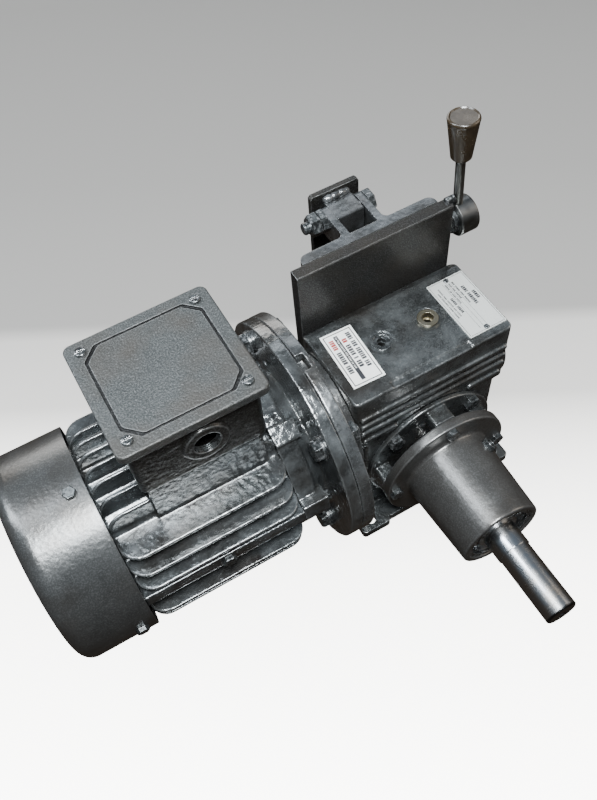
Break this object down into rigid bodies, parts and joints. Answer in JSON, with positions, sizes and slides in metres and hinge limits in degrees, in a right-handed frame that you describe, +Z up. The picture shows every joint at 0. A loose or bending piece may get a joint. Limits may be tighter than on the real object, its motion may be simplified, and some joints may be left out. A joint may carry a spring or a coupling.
{
  "type": "worm gear set",
  "caption": "Worm reducer with a finned flange motor, an extended output shaft, foot lugs and a hinged wall bracket with a clamping lever.",
  "frame": {"origin": "middle of the four foot holes, on the underside of the gear housing's feet", "axes": "+X along the worm axis away from the motor, -Y along the output shaft, +Z up"},
  "size_m": [0.4336, 0.342, 0.3285],
  "materials": {
    "hammer_paint": "glossy hammered dark grey metallic paint",
    "fastener_steel": "zinc plated, partly painted over",
    "polished_steel": "ground and polished",
    "machined_steel": "machined",
    "lever_steel": "painted over, worn",
    "weld_metal": "painted weld bead",
    "black_rubber": "matte",
    "fan_plastic": "moulded",
    "knob_plastic": "glossy phenolic",
    "bronze": "machined bronze",
    "brass_plug": "turned",
    "cast_iron": "as cast",
    "lamination": "stacked steel sheet",
    "winding": "varnished copper",
    "plate_aluminium": "printed aluminium",
    "label_paper": "printed label"
  },
  "bodies": {
    "gear_unit": {"barrel_bolts": "fastener_steel", "barrel_plug": "fastener_steel", "breather_plug": "brass_plug", "clevis_bolts": "fastener_steel", "clevis_bracket": "hammer_paint", "cover_screws": "fastener_steel", "cowl_screws": "fastener_steel", "drive_end_shield": "hammer_paint", "earth_screw": "fastener_steel", "extension_barrel": "hammer_paint", "fan_cowl": "hammer_paint", "filler_plug": "fastener_steel", "flange_bolts": "fastener_steel", "gear_housing": "hammer_paint", "index_pin": "fastener_steel", "input_flange": "hammer_paint", "input_flange_screws": "fastener_steel", "lantern_bolts": "fastener_steel", "lever_stud": "fastener_steel", "lever_washer": "fastener_steel", "lid_gasket": "black_rubber", "lid_screws": "fastener_steel", "motor_bearings": "machined_steel", "motor_frame": "hammer_paint", "mounting_plate": "hammer_paint", "nameplate": "plate_aluminium", "nameplate_rivets": "fastener_steel", "oil_label": "label_paper", "output_bearings": "machined_steel", "output_lantern": "hammer_paint", "pivot_bolt": "fastener_steel", "pivot_nuts": "fastener_steel", "plate_bolts": "fastener_steel", "rear_cover": "hammer_paint", "rear_end_shield": "hammer_paint", "retaining_ring": "fastener_steel", "shaft_seals": "black_rubber", "shield_tie_bolts": "fastener_steel", "stator_core": "lamination", "stator_windings": "winding", "terminal_block": "fan_plastic", "terminal_box_base": "hammer_paint", "terminal_box_lid": "hammer_paint", "worm_bearings": "machined_steel", "worm_end_cover": "hammer_paint"},
    "rotor": {"rotor_core": "lamination", "motor_shaft": "machined_steel", "motor_key": "machined_steel", "cooling_fan": "fan_plastic", "worm_shaft": "machined_steel"},
    "output": {"worm_wheel_rim": "bronze", "wheel_hub": "cast_iron", "wheel_key": "machined_steel", "output_shaft": "polished_steel"},
    "wall_bracket": {"hinge_block": "hammer_paint", "hinge_weld": "weld_metal", "wall_plate": "hammer_paint"},
    "lever": {"lever_boss": "lever_steel", "lever_rod": "lever_steel", "lever_knob": "knob_plastic"}
  },
  "joints": [
    {"name": "rotor_spin", "type": "hinge", "parent": "gear_unit", "child": "rotor", "pos_m": [0, 0, 0.129], "axis": [1, 0, 0], "continuous": true},
    {"name": "output_spin", "type": "hinge", "parent": "gear_unit", "child": "output", "pos_m": [0, 0, 0.074], "axis": [0, -1, 0], "continuous": true},
    {"name": "wall_tilt", "type": "hinge", "parent": "gear_unit", "child": "wall_bracket", "pos_m": [-0.0016, 0.092, 0.246], "axis": [1, 0, 0], "range_deg": [-20, 60]},
    {"name": "lever_swing", "type": "hinge", "parent": "gear_unit", "child": "lever", "pos_m": [0.079, 0.0485, 0.232], "axis": [1, 0, 0], "range_deg": [-80, 80]}
  ],
  "couplings": [
    {"joint": "output_spin", "follows": "rotor_spin", "ratio": 0.033333}
  ]
}
